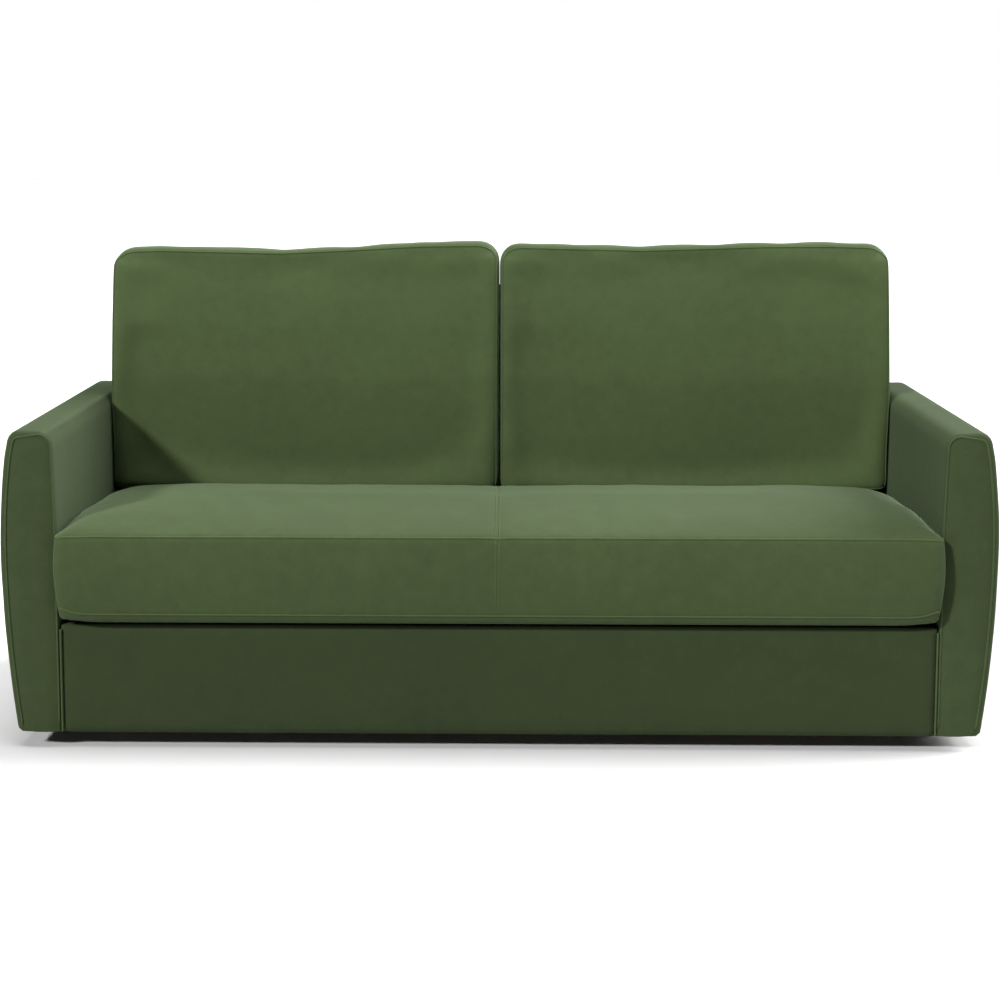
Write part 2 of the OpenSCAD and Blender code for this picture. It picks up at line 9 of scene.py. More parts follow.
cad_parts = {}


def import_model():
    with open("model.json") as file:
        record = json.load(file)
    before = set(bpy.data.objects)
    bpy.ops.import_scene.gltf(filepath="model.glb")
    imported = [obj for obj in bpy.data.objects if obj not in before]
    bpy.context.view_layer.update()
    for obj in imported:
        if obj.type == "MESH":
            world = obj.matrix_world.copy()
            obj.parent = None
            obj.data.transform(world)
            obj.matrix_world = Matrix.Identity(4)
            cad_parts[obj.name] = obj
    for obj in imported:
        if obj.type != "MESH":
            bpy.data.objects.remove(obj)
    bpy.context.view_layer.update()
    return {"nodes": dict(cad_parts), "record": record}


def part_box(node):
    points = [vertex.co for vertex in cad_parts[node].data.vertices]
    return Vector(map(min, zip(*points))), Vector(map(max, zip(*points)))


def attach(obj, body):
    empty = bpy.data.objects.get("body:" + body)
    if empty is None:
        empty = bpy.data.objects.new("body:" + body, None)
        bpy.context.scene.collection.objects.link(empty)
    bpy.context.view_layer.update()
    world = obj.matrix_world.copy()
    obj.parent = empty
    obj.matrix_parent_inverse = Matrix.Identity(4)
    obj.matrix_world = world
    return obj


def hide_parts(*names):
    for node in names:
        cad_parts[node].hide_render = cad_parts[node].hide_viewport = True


# Fold-out sofa bed in green velvet. x runs along the sofa, y from front to back, z up, all in metres.
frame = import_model()

RECORD = frame["record"]
HINGE = {j["name"]: j for j in RECORD["behaviour"]["joints"]}


def corners(node):
    """Lowest and highest corner of a CAD node at rest."""
    return [Vector(v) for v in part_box(node)]


# ---------------------------------------------------------------- places, all from the CAD
ARM_LO, ARM_HI = corners("arm_cover_right")
FACE_LO, FACE_HI = corners("arm_front_panel_right")
PANEL_LO, PANEL_HI = corners("front_cover")
REAR_LO, REAR_HI = corners("back_cover")
SEAT_LO, SEAT_HI = corners("seat_cushion_cover")
BACK_LO, BACK_HI = corners("back_cushion_right")
BACK_PIVOT = Vector(HINGE["back_fold"]["pos_m"])
LEAN = math.radians(5.0)        # of the backrest, from upright
FRONT_Y = FACE_LO.y
ARM_TOP = ARM_HI.z
ARM_FOOT = ARM_LO.z
HALF_GAP = FACE_LO.x            # from the middle to an arm's inner side
HALF_W = FACE_HI.x


def on_back(x, n, s):
    """A point of the backrest's own frame: n out of its rear, s up along it."""
    return Vector((
        x,
        BACK_PIVOT.y + s * math.sin(LEAN) + n * math.cos(LEAN),
        BACK_PIVOT.z + s * math.cos(LEAN) - n * math.sin(LEAN),
    ))


def span_on_back(node):
    """Least and greatest n, then s, of a CAD node in the backrest's frame, to a tenth of a millimetre."""
    co = [v.co - BACK_PIVOT for v in frame["nodes"][node].data.vertices]
    n = [p.y * math.cos(LEAN) - p.z * math.sin(LEAN) for p in co]
    s = [p.y * math.sin(LEAN) + p.z * math.cos(LEAN) for p in co]
    return [round(end(v), 4) for v in (n, s) for end in (min, max)]


# ---------------------------------------------------------------- materials
def material(name):
    m = bpy.data.materials.new(name)
    m.use_nodes = True
    t = m.node_tree
    return m, t, t.nodes["Principled BSDF"]


def add(t, kind, **values):
    n = t.nodes.new(kind)
    for k, v in values.items():
        if k.startswith("i_"):
            key = int(k[2:]) if k[2:].isdigit() else k[2:].replace("_", " ")
            n.inputs[key].default_value = v
        else:
            setattr(n, k, v)
    return n


def ramp(t, source, stops):
    r = t.nodes.new("ShaderNodeValToRGB")
    while len(r.color_ramp.elements) < len(stops):
        r.color_ramp.elements.new(0.5)
    for e, (at, c) in zip(r.color_ramp.elements, stops):
        e.position = at
        e.color = (*c, 1.0)
    t.links.new(source, r.inputs["Fac"])
    return r.outputs["Color"]


def noise_at(t, coords, scale, detail=3.0, rough=0.5, stretch=None):
    src = coords
    if stretch:
        mp = add(t, "ShaderNodeMapping")
        mp.inputs["Scale"].default_value = stretch
        t.links.new(coords, mp.inputs["Vector"])
        src = mp.outputs["Vector"]
    n = add(t, "ShaderNodeTexNoise", i_Scale=scale, i_Detail=detail, i_Roughness=rough)
    t.links.new(src, n.inputs["Vector"])
    return n.outputs["Fac"]


def scaled(c, k):
    return tuple(v * k for v in c)


def mixed(t, fac, a, b, blend="MIX"):
    m = add(t, "ShaderNodeMix", data_type="RGBA", blend_type=blend)
    if isinstance(fac, float):
        m.inputs[0].default_value = fac
    else:
        t.links.new(fac, m.inputs[0])
    t.links.new(a, m.inputs[6])
    t.links.new(b, m.inputs[7])
    return m.outputs[2]


def bump(t, height, strength, distance, normal=None):
    b = add(t, "ShaderNodeBump", i_Strength=strength, i_Distance=distance)
    t.links.new(height, b.inputs["Height"])
    if normal is not None:
        t.links.new(normal, b.inputs["Normal"])
    return b.outputs["Normal"]


VELVET = (0.0338, 0.0515, 0.0172)


def velvet(name, tone=1.0, sheen=0.19):
    """Short-pile velvet: cloudy nap, fine mottling, a soft sheen and a pile too fine to see singly."""
    m, t, p = material(name)
    co = t.nodes.new("ShaderNodeTexCoord").outputs["Object"]
    # tone darkens or lightens the whole colour; the copies below use it to paint shade and highlight
    base = scaled(VELVET, tone)
    cloud = noise_at(t, co, 2.6, 4.0, 0.55)
    broad = ramp(t, cloud, [(0.30, scaled(base, 0.92)), (0.70, scaled(base, 1.07))])
    fine = noise_at(t, co, 42.0, 5.0, 0.65)
    mottle = ramp(t, fine, [(0.25, (0.89, 0.89, 0.89)), (0.78, (1.09, 1.09, 1.07))])
    pile = noise_at(t, co, 520.0, 3.0, 0.7)
    grain = ramp(t, pile, [(0.30, (0.86, 0.86, 0.86)), (0.72, (1.10, 1.10, 1.10))])
    colour = mixed(t, 1.0, mixed(t, 1.0, broad, mottle, "MULTIPLY"), grain, "MULTIPLY")
    t.links.new(colour, p.inputs["Base Color"])
    p.inputs["Roughness"].default_value = 0.88
    p.inputs["Specular IOR Level"].default_value = 0.18
    p.inputs["Sheen Weight"].default_value = sheen
    p.inputs["Sheen Roughness"].default_value = 0.40
    p.inputs["Sheen Tint"].default_value = (0.64, 0.88, 0.58, 1.0)
    soft = bump(t, noise_at(t, co, 9.0, 2.0, 0.5), 0.10, 0.010)
    nap = bump(t, noise_at(t, co, 60.0, 4.0, 0.6), 0.18, 0.0012, soft)
    t.links.new(bump(t, pile, 0.30, 0.0004, nap), p.inputs["Normal"])
    return m


def plain_fabric(name, colour, weave=900.0):
    m, t, p = material(name)
    co = t.nodes.new("ShaderNodeTexCoord").outputs["Object"]
    tone = ramp(t, noise_at(t, co, 6.0, 4.0), [(0.3, scaled(colour, 0.93)), (0.7, scaled(colour, 1.04))])
    wx = add(t, "ShaderNodeTexWave", wave_type="BANDS", bands_direction="X", i_Scale=weave / 6.28)
    wy = add(t, "ShaderNodeTexWave", wave_type="BANDS", bands_direction="Y", i_Scale=weave / 6.28)
    t.links.new(co, wx.inputs["Vector"])
    t.links.new(co, wy.inputs["Vector"])
    mx = add(t, "ShaderNodeMath", operation="MAXIMUM")
    t.links.new(wx.outputs["Fac"], mx.inputs[0])
    t.links.new(wy.outputs["Fac"], mx.inputs[1])
    yarn = ramp(t, mx.outputs[0], [(0.1, (0.88, 0.88, 0.88)), (0.9, (1.03, 1.03, 1.03))])
    t.links.new(mixed(t, 1.0, tone, yarn, "MULTIPLY"), p.inputs["Base Color"])
    p.inputs["Roughness"].default_value = 0.9
    p.inputs["Sheen Weight"].default_value = 0.15
    t.links.new(bump(t, mx.outputs[0], 0.25, 0.0004), p.inputs["Normal"])
    return m


def wood(name, light, dark, along):
    """Long grain with pores and faint bands, stretched along one axis."""
    m, t, p = material(name)
    co = t.nodes.new("ShaderNodeTexCoord").outputs["Object"]
    stretch = tuple(0.07 if a == along else 1.0 for a in "xyz")
    grain = noise_at(t, co, 55.0, 6.0, 0.62, stretch)
    pores = noise_at(t, co, 420.0, 3.0, 0.7, stretch)
    colour = ramp(t, grain, [(0.28, dark), (0.55, light), (0.80, scaled(light, 0.86))])
    fleck = ramp(t, pores, [(0.30, (0.80, 0.78, 0.75)), (0.55, (1.0, 1.0, 1.0))])
    t.links.new(mixed(t, 1.0, colour, fleck, "MULTIPLY"), p.inputs["Base Color"])
    rough = ramp(t, grain, [(0.2, (0.62,) * 3), (0.8, (0.48,) * 3)])
    t.links.new(rough, p.inputs["Roughness"])
    t.links.new(bump(t, pores, 0.25, 0.0004), p.inputs["Normal"])
    return m


def metal(name, colour, rough, metallic=1.0, brushed=None):
    m, t, p = material(name)
    co = t.nodes.new("ShaderNodeTexCoord").outputs["Object"]
    lines = noise_at(t, co, 260.0, 4.0, 0.6, brushed)
    blotch = noise_at(t, co, 18.0, 4.0, 0.55)
    tone = ramp(t, blotch, [(0.3, scaled(colour, 0.86)), (0.7, scaled(colour, 1.08))])
    t.links.new(tone, p.inputs["Base Color"])
    p.inputs["Metallic"].default_value = metallic
    r = ramp(t, lines, [(0.25, (rough * 0.8,) * 3), (0.75, (min(1.0, rough * 1.3),) * 3)])
    t.links.new(r, p.inputs["Roughness"])
    t.links.new(bump(t, lines, 0.12, 0.0003), p.inputs["Normal"])
    return m


def plastic(name, colour):
    m, t, p = material(name)
    co = t.nodes.new("ShaderNodeTexCoord").outputs["Object"]
    grit = noise_at(t, co, 700.0, 2.0)
    scuff = noise_at(t, co, 35.0, 5.0, 0.7)
    tone = ramp(t, scuff, [(0.4, colour), (0.75, tuple(c * 1.7 + 0.006 for c in colour))])
    t.links.new(tone, p.inputs["Base Color"])
    r = ramp(t, scuff, [(0.3, (0.46,) * 3), (0.8, (0.66,) * 3)])
    t.links.new(r, p.inputs["Roughness"])
    t.links.new(bump(t, grit, 0.2, 0.0002), p.inputs["Normal"])
    return m


# One velvet at six tones: the back cushions' is the plain colour, the seat, arm and base copies are darkened
# to paint shade, and the seam copies are lighter than the velvet beside them to paint highlight.
M_VELVET = velvet("velvet", 1.05)
M_VELVET_SEAT_PAINTED_SHADE = velvet("velvet_seat_painted_shade", 0.85, 0.11)
M_SEAM_PAINTED_HIGHLIGHT = velvet("velvet_seam_painted_highlight", 1.15, 0.12)
M_VELVET_ARM_PAINTED_SHADE = velvet("velvet_arm_painted_shade", 0.70, 0.07)
M_VELVET_BASE_PAINTED_SHADE = velvet("velvet_base_painted_shade", 0.53, 0.02)
M_ARM_SEAM_PAINTED_HIGHLIGHT = velvet("velvet_arm_seam_painted_highlight", 0.88, 0.10)
M_TICKING = plain_fabric("mattress_ticking", (0.25, 0.246, 0.226))
M_BORDER = plain_fabric("mattress_border", (0.205, 0.21, 0.205), 700.0)
M_BEECH = wood("beech_slat", (0.36, 0.245, 0.135), (0.26, 0.165, 0.085), "x")
M_PLY = wood("birch_ply", (0.60, 0.46, 0.30), (0.47, 0.34, 0.20), "x")
M_TIMBER = wood("softwood", (0.58, 0.42, 0.25), (0.44, 0.29, 0.15), "y")
M_FRAME = metal("grey_powder_coat", (0.115, 0.12, 0.125), 0.42, 0.0)
M_ZINC = metal("zinc_plate", (0.56, 0.57, 0.58), 0.30, 1.0, (1.0, 0.15, 1.0))
M_BLACK = plastic("black_plastic", (0.018, 0.018, 0.019))
M_FOAM = plain_fabric("foam", (0.72, 0.65, 0.46), 300.0)

SLOT_MATERIAL = {
    "velvet": M_VELVET, "foam": M_FOAM, "timber": M_TIMBER, "ply": M_PLY, "beech": M_BEECH,
    "black_plastic": M_BLACK, "zinc_steel": M_ZINC, "grey_frame": M_FRAME, "ticking": M_TICKING,
}
for part in RECORD["subparts"]:
    ob = frame["nodes"][part["node"]]
    ob.data.materials.clear()
    ob.data.materials.append(SLOT_MATERIAL[part["material_slot"]])


# ---------------------------------------------------------------- mesh helpers
def mesh_object(name, verts, faces, mat, smooth=True):
    me = bpy.data.meshes.new(name)
    me.from_pydata([tuple(v) for v in verts], [], faces)
    me.materials.append(mat)
    me.update()
    if smooth:
        me.shade_smooth()
    ob = bpy.data.objects.new(name, me)
    bpy.context.scene.collection.objects.link(ob)
    return ob


def box_lattice(nx, ny, nz):
    """Surface points of an nx by ny by nz block of cells, and the quads that join them, facing out."""
    index, points, quads = {}, [], []

    def at(i, j, k):
        key = (i, j, k)
        if key not in index:
            index[key] = len(points)
            points.append(key)
        return index[key]

    for i in range(nx):
        for j in range(ny):
            quads.append((at(i, j, 0), at(i, j + 1, 0), at(i + 1, j + 1, 0), at(i + 1, j, 0)))
            quads.append((at(i, j, nz), at(i + 1, j, nz), at(i + 1, j + 1, nz), at(i, j + 1, nz)))
    for i in range(nx):
        for k in range(nz):
            quads.append((at(i, 0, k), at(i + 1, 0, k), at(i + 1, 0, k + 1), at(i, 0, k + 1)))
            quads.append((at(i, ny, k), at(i, ny, k + 1), at(i + 1, ny, k + 1), at(i + 1, ny, k)))
    for j in range(ny):
        for k in range(nz):
            quads.append((at(0, j, k), at(0, j, k + 1), at(0, j + 1, k + 1), at(0, j + 1, k)))
            quads.append((at(nx, j, k), at(nx, j + 1, k), at(nx, j + 1, k + 1), at(nx, j, k + 1)))
    return points, quads, index


def tube_along(name, path, radius, mat, closed=False, sides=8):
    """A round cord through the given points, for piping and raised seams."""
    pts = [Vector(p) for p in path]
    n = len(pts)
    verts, faces = [], []
    up = None
    for i, p in enumerate(pts):
        a = pts[(i - 1) % n] if closed or i > 0 else pts[i]
        b = pts[(i + 1) % n] if closed or i < n - 1 else pts[i]
        d = (b - a).normalized()
        if up is None:
            up = Vector((0, 0, 1)) if abs(d.z) < 0.9 else Vector((0, 1, 0))
        side = d.cross(up).normalized()
        up = side.cross(d).normalized()
        for s in range(sides):
            g = 2 * math.pi * s / sides
            verts.append(p + radius * (math.cos(g) * side + math.sin(g) * up))
    rings = n if closed else n - 1
    for i in range(rings):
        for s in range(sides):
            a, b = i * sides, ((i + 1) % n) * sides
            faces.append((a + s, a + (s + 1) % sides, b + (s + 1) % sides, b + s))
    if not closed:
        faces.append(tuple(range(sides))[::-1])
        faces.append(tuple((n - 1) * sides + s for s in range(sides)))
    return mesh_object(name, verts, faces, mat)


def smoothstep(x):
    x = min(1.0, max(0.0, x))
    return x * x * (3 - 2 * x)


def fbm(x, y, z, seed=0.0, octaves=3):
    return noise.fractal(Vector((x + seed * 7.31, y + seed * 3.17, z - seed * 5.77)), 0.9, 2.1, octaves)


def apply_modifiers(ob):
    dg = bpy.context.evaluated_depsgraph_get()
    me = bpy.data.meshes.new_from_object(ob.evaluated_get(dg))
    old = ob.data
    ob.modifiers.clear()
    ob.data = me
    bpy.data.meshes.remove(old)


def subdivide(ob, levels=1):
    s = ob.modifiers.new("round", "SUBSURF")
    s.levels = s.render_levels = levels
    apply_modifiers(ob)
    ob.data.shade_smooth()


def eased(ob, move, held, passes):
    """The moves averaged with their neighbours', which takes the sharpest creases out."""
    edges = np.array([e.vertices[:] for e in ob.data.edges])
    free = np.ones(len(move), bool)
    free[list(held)] = False
    count = np.bincount(edges.ravel(), minlength=len(move))[:, None]
    for _ in range(passes):
        total = np.zeros_like(move)
        np.add.at(total, edges[:, 0], move[edges[:, 1]])
        np.add.at(total, edges[:, 1], move[edges[:, 0]])
        move = np.where(free[:, None], (move + total / count) / 2, move)
    return move


def stuff(ob, pinned, cap, pressure, grow=0.0, frames=20, passes=0):
    """Blows the cover up from inside with its seams held, then caps and eases how far points moved."""
    start = np.array([v.co[:] for v in ob.data.vertices])
    grp = ob.vertex_groups.new(name="seams")
    for i, w in pinned.items():
        grp.add([i], w, "REPLACE")
    c = ob.modifiers.new("cover", "CLOTH")
    c.settings.quality = 6
    c.settings.mass = 0.35
    c.settings.tension_stiffness = 22
    c.settings.compression_stiffness = 22
    c.settings.shear_stiffness = 12
    c.settings.bending_stiffness = 0.6
    c.settings.use_pressure = True
    c.settings.uniform_pressure_force = pressure
    c.settings.shrink_min = -grow
    c.settings.vertex_group_mass = "seams"
    c.settings.pin_stiffness = 30
    c.settings.effector_weights.gravity = 0.0
    c.collision_settings.use_collision = False
    c.point_cache.frame_start = 1
    c.point_cache.frame_end = frames
    for f in range(1, frames + 1):
        bpy.context.scene.frame_set(f)
    apply_modifiers(ob)
    ob.vertex_groups.clear()
    end = np.array([v.co[:] for v in ob.data.vertices])
    move = end - start
    far = np.linalg.norm(move, axis=1)
    k = np.where(far > cap, cap / np.maximum(far, 1e-9), 1.0)
    end = start + eased(ob, move * k[:, None], pinned, passes)
    ob.data.vertices.foreach_set("co", end.ravel())
    ob.data.update()
    bpy.context.scene.frame_set(1)


# ---------------------------------------------------------------- cushions
def rounded(x, y, hx, hy, r):
    """Moves a point of a rectangle so that rectangles concentric with its edge become round-cornered."""
    ix, iy = hx - r, hy - r
    dx = math.copysign(max(abs(x) - ix, 0.0), x)
    dy = math.copysign(max(abs(y) - iy, 0.0), y)
    far = math.hypot(dx, dy)
    if dx == 0.0 or dy == 0.0 or far == 0.0:
        return x, y
    k = max(abs(dx), abs(dy)) / far
    return x - dx + dx * k, y - dy + dy * k


def plump(d, reach):
    """Rise of a stuffed panel at distance d inside its seam, 0 to 1."""
    t = min(1.0, max(0.0, d / reach))
    return 1.0 - (1.0 - t) ** 2.2


def cushion(name, cells, place, pins, mat, mirrored=False, **filling):
    """A closed cushion: place puts each share of the lattice, pins says how firmly a point is held."""
    points, quads, index = box_lattice(*cells)
    verts = [place(*(n / of for n, of in zip(point, cells))) for point in points]
    ob = mesh_object(name, verts, [q[::-1] for q in quads] if mirrored else quads, mat)
    held = {n: pins(*point) for n, point in enumerate(points)}
    stuff(ob, {n: w for n, w in held.items() if w > 0}, **filling)
    subdivide(ob)
    return ob, index


def seam_line(name, ob, index, keys, radius, mat, closed=False, shift=Vector((0, 0, 0))):
    """A raised seam along lattice points of a finished cushion."""
    path = [ob.data.vertices[index[key]].co + shift for key in keys]
    return tube_along(name, path, radius, mat, closed)


def rim_loop(nx, ny, k):
    """Lattice points round the edge of layer k."""
    loop = [(i, 0, k) for i in range(0, nx)] + [(nx, j, k) for j in range(0, ny)]
    return loop + [(i, ny, k) for i in range(nx, 0, -1)] + [(0, j, k) for j in range(ny, 0, -1)]


def finish_soft(ob, body, nodes=()):
    """Tells the frame what a soft piece rides on and stands for."""
    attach(ob, body)
    if nodes:
        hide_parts(*nodes)


# ---------------------------------------------------------------- seat cushion
# Top and bottom panels joined by a boxing strip, with a seam down the middle
SEAT_CELLS = (120, 50, 12)
SEAT_HX = SEAT_HI.x - 0.002
SEAT_Y0, SEAT_Y1 = SEAT_LO.y + 0.008, SEAT_HI.y - 0.004
SEAT_CY, SEAT_HY = (SEAT_Y0 + SEAT_Y1) / 2, (SEAT_Y1 - SEAT_Y0) / 2
SEAT_Z0 = SEAT_LO.z
SEAT_CORNER = 0.016                                 # radius of its upright corners
# The top seam from front to back: distance behind the front, and height above the underside
SEAT_SEAM_Y = [SEAT_LO.y + d for d in (0.0, 0.075, 0.225, 0.455, 0.625, 0.695)]
SEAT_SEAM_Z = [SEAT_LO.z + h for h in (0.1640, 0.1640, 0.1665, 0.1560, 0.1380, 0.1325)]
SEAT_PUFF = 0.0225                                  # rise of the top panel inside its seam
SEAT_ROLL, SEAT_ROLL_NEAR, SEAT_ROLL_REAR = 0.17, 0.045, 0.06   # reach of that rise, front and rear
SEAT_ROLL_ENDS = 0.045
SEAT_NOSE, SEAT_NOSE_FADE = 0.055, 0.030            # the part that stands ahead of the arms
SEAT_END, SEAT_OVER = 0.075, 0.0085                 # the nose's ends, and how far they spread
SEAT_TUCK, SEAT_TUCK_UP, SEAT_TUCK_END = 0.12, 0.017, 0.013     # lift of the lower front seam
SEAT_LIP, SEAT_LIP_AT, SEAT_LIP_W = 0.0085, 0.022, 0.020        # sag of the underside behind that seam
SEAT_DIP, SEAT_DIP_W = 0.0022, 0.010                # groove of the middle seam
SEAT_BULGE = 0.0065                                 # of the boxing strip
SEAT_SEAM_R, SEAT_STITCH_R, SEAT_STITCH_X = 0.0019, 0.0011, 0.0036


def seat_place(a, b, c):
    """A point of the seat cushion: a from left to right, b from front to back, c from below to above."""
    x = (2 * a - 1) * SEAT_HX
    y = (2 * b - 1) * SEAT_HY
    ex, ey = SEAT_HX - abs(x), SEAT_HY - abs(y)
    px, py = rounded(x, y, SEAT_HX, SEAT_HY, SEAT_CORNER)
    py += SEAT_CY
    nose = smoothstep((SEAT_Y0 + SEAT_NOSE - py) / SEAT_NOSE_FADE)
    ends = smoothstep((abs(px) - (SEAT_HX - SEAT_END)) / SEAT_END)
    top = float(np.interp(py, SEAT_SEAM_Y, SEAT_SEAM_Z)) - 0.002 * ends * nose
    front = smoothstep((SEAT_Y0 + SEAT_TUCK - py) / SEAT_TUCK)
    low = SEAT_Z0 + SEAT_TUCK_UP * front + SEAT_TUCK_END * ends ** 4 * front
    spread = math.copysign(SEAT_OVER * nose * ends, px)
    if c == 1.0:
        if y < 0:
            roll = 0.6 * plump(ey, SEAT_ROLL) + 0.4 * plump(ey, SEAT_ROLL_NEAR)
        else:
            roll = plump(ey, SEAT_ROLL_REAR)
        rise = SEAT_PUFF * plump(ex, SEAT_ROLL_ENDS) * roll
        dip = SEAT_DIP * math.exp(-((px / SEAT_DIP_W) ** 2))
        soft = 0.0016 * fbm(px * 2.4, py * 2.4, 0.0, 1.0) * plump(min(ex, ey), 0.1)
        return Vector((px + spread * 0.6, py, top + rise - dip + soft))
    if c == 0.0:
        under = (low - SEAT_Z0) * (1.0 - plump(ey, SEAT_LIP_AT)) if y < 0 else 0.0
        sag = SEAT_LIP * math.exp(-(((ey - SEAT_LIP_AT) / SEAT_LIP_W) ** 2))
        return Vector((px + spread * 0.2, py, SEAT_Z0 + under - sag * front * (1.0 - 0.7 * ends)))
    out = math.sin(math.pi * c) ** 0.8
    z = low + (top - low) * c
    bulge = SEAT_BULGE * out
    nx = 0.0 if ex > SEAT_CORNER else math.copysign(1.0 - ex / SEAT_CORNER, px) * 0.25
    ny = (-1.0 if y < 0 else 0.3) * (1.0 if ey < 1e-6 else max(0.0, 1.0 - ey / SEAT_CORNER))
    wobble = 0.0010 * fbm(px * 4.0, z * 7.0, 3.0, 2.0) * out
    wide = spread * (0.2 * (1 - c) ** 4 + 0.6 * c ** 4 + 0.85 * out)
    return Vector((px + nx * bulge + wide, py + ny * (bulge + wobble), z))


def seat_pins(i, j, k):
    """Underside and rear held fast, ends and front seam nearly so, the top and the front free."""
    nx, ny, nz = SEAT_CELLS
    if k == 0:
        return 1.0
    if i in (0, nx):
        return 0.97
    if j == ny:
        return 1.0
    if k == nz and j == 0:
        return 0.95
    if i == nx // 2 and j == 0:
        return 0.9
    return 0.0


def build_seat():
    # darkened velvet copy: painted shade on the seat cushion
    ob, index = cushion("seat_cushion", SEAT_CELLS, seat_place, seat_pins, M_VELVET_SEAT_PAINTED_SHADE,
                        cap=0.022, pressure=1.2, grow=0.004, passes=2)
    finish_soft(ob, "seat_section", ("seat_cushion_cover", "seat_cushion_core"))
    nx, ny, nz = SEAT_CELLS
    left = [(0, j, nz) for j in range(ny, 0, -1)]
    right = [(nx, j, nz) for j in range(1, ny + 1)]
    seams = [
        ("seat_top_seam", left + [(i, 0, nz) for i in range(nx + 1)] + right, SEAT_SEAM_R, 0.0),
        ("seat_bottom_seam", [(i, 0, 0) for i in range(nx + 1)], SEAT_SEAM_R, 0.0),
    ]
    middle = [(nx // 2, j, nz) for j in range(ny - 1, 0, -1)] + [(nx // 2, 0, k) for k in range(nz, 0, -1)]
    seams.append(("seat_centre_seam_left", middle, SEAT_STITCH_R, -SEAT_STITCH_X))
    seams.append(("seat_centre_seam_right", middle, SEAT_STITCH_R, SEAT_STITCH_X))
    for name, keys, radius, x in seams:
        # the seams take the lightened velvet copy, a painted highlight
        seam = seam_line(name, ob, index, keys, radius, M_SEAM_PAINTED_HIGHLIGHT, shift=Vector((x, 0, 0)))
        finish_soft(seam, "seat_section")


build_seat()


# ---------------------------------------------------------------- back cushions
# Boxed, with the front panel's seam set in from the outline
BACK_CELLS = (64, 42, 9)
_, CUSHION_N1, CUSHION_S0, CUSHION_S1 = span_on_back("back_cushion_right")
BACK_N = CUSHION_N1 - 0.0005
BACK_S0, BACK_S1 = CUSHION_S0 - 0.012, CUSHION_S1 + 0.006
BACK_INNER, BACK_OUTER = BACK_LO.x - 0.0012, BACK_HI.x + 0.0012
BACK_R_TOP, BACK_R_FOOT = 0.043, 0.016              # radius of the corners in front view
# Thickness of the cushion up along it
BACK_FACE_S = (0.155, 0.25, 0.40, 0.52, 0.62, 0.692)
BACK_FACE_T = (0.139, 0.141, 0.139, 0.128, 0.113, 0.103)
BACK_WIDER, BACK_WIDER_S, BACK_WIDER_FADE = 0.0055, 0.21, 0.17  # spread of the outer side above the arm
BACK_SIDE_IN, BACK_TOP_IN, BACK_FOOT_IN = 0.0045, 0.0125, 0.002  # the seam inside the outline
BACK_IN_FADE = 0.05
BACK_DROP_SIDE, BACK_DROP_TOP, BACK_DROP_FOOT = 0.012, 0.024, 0.002  # the seam behind the face
BACK_REACH_SIDE, BACK_REACH_TOP, BACK_REACH_FOOT = 0.032, 0.13, 0.020
BACK_DROP_MOST = 0.027
BACK_CROWN = 0.007
BACK_SEAM_R = 0.0017
# Where the filling has settled: dip of each cushion's top border, from the middle of the sofa outwards
BACK_TOP_X = {-1: (0.06, 0.17, 0.33, 0.48, 0.74, 0.81), 1: (0.05, 0.31, 0.57, 0.72, 0.81)}
BACK_TOP_DS = {
    -1: (0.001, 0.000, -0.009, -0.016, -0.010, -0.013),
    1: (-0.003, -0.009, -0.001, 0.000, -0.003),
}


def back_place(sign):
    """The placing of the left (-1) or right (1) cushion: a from the middle outwards, b up, c forwards."""
    hx, hs = (BACK_OUTER - BACK_INNER) / 2, (BACK_S1 - BACK_S0) / 2
    cx, cs = (BACK_OUTER + BACK_INNER) / 2, (BACK_S1 + BACK_S0) / 2

    def place(a, b, c):
        x, s = (2 * a - 1) * hx, (2 * b - 1) * hs
        ex, es = hx - abs(x), hs - abs(s)
        px, ps = rounded(x, s, hx, hs, BACK_R_FOOT if s < 0 else BACK_R_TOP)
        gx, gs = x / hx, s / hs
        upper = gs > 0
        thick = float(np.interp(ps + cs, BACK_FACE_S, BACK_FACE_T))
        flat_side = 1.0 - (math.sin(math.pi * c) ** 0.55 if 0.0 < c < 1.0 else 0.0)
        side_in = BACK_SIDE_IN * (1.0 if gx < 0 else 0.4) * flat_side
        side_in *= (1.0 - smoothstep(ex / BACK_IN_FADE)) * math.copysign(1, gx)
        rim_in = (BACK_TOP_IN if upper else BACK_FOOT_IN) * flat_side
        rim_in *= (1.0 - smoothstep(es / BACK_IN_FADE)) * math.copysign(1, gs)
        settle = float(np.interp(px + cx, BACK_TOP_X[sign], BACK_TOP_DS[sign]))
        settle *= smoothstep((gs - 0.1) / 0.9)
        wider = BACK_WIDER * smoothstep((ps + cs - BACK_WIDER_S) / BACK_WIDER_FADE) * smoothstep(gx / 0.9)
        qx, qs = px - side_in + cx + wider, ps - rim_in + cs + settle
        drop_x = BACK_DROP_SIDE * (1.0 - plump(ex, BACK_REACH_SIDE))
        drop_s = BACK_DROP_TOP if upper else BACK_DROP_FOOT
        drop_s *= 1.0 - plump(es, BACK_REACH_TOP if upper else BACK_REACH_FOOT)
        face = thick - min(BACK_DROP_MOST, math.hypot(drop_x, drop_s))
        if c < 1.0:
            return on_back(sign * qx, BACK_N - face * c, qs)
        crown = BACK_CROWN * (1 - gx * gx) * (1 - 0.6 * gs * gs)
        soft = 0.0034 * fbm(px * 2.2 * sign, ps * 2.2, 1.0, 4.0 + sign) * smoothstep(min(ex, es) / 0.10)
        return on_back(sign * qx, BACK_N - face - crown - soft, qs)

    return place


def back_pins(i, j, k):
    """Rear and foot held fast, the front panel's seam and the sides nearly so."""
    nx, ny, nz = BACK_CELLS
    if k == 0 or j == 0:
        return 1.0
    if k == nz and (i in (0, nx) or j == ny):
        return 0.93
    if i in (0, nx):
        return 0.9
    return 0.0


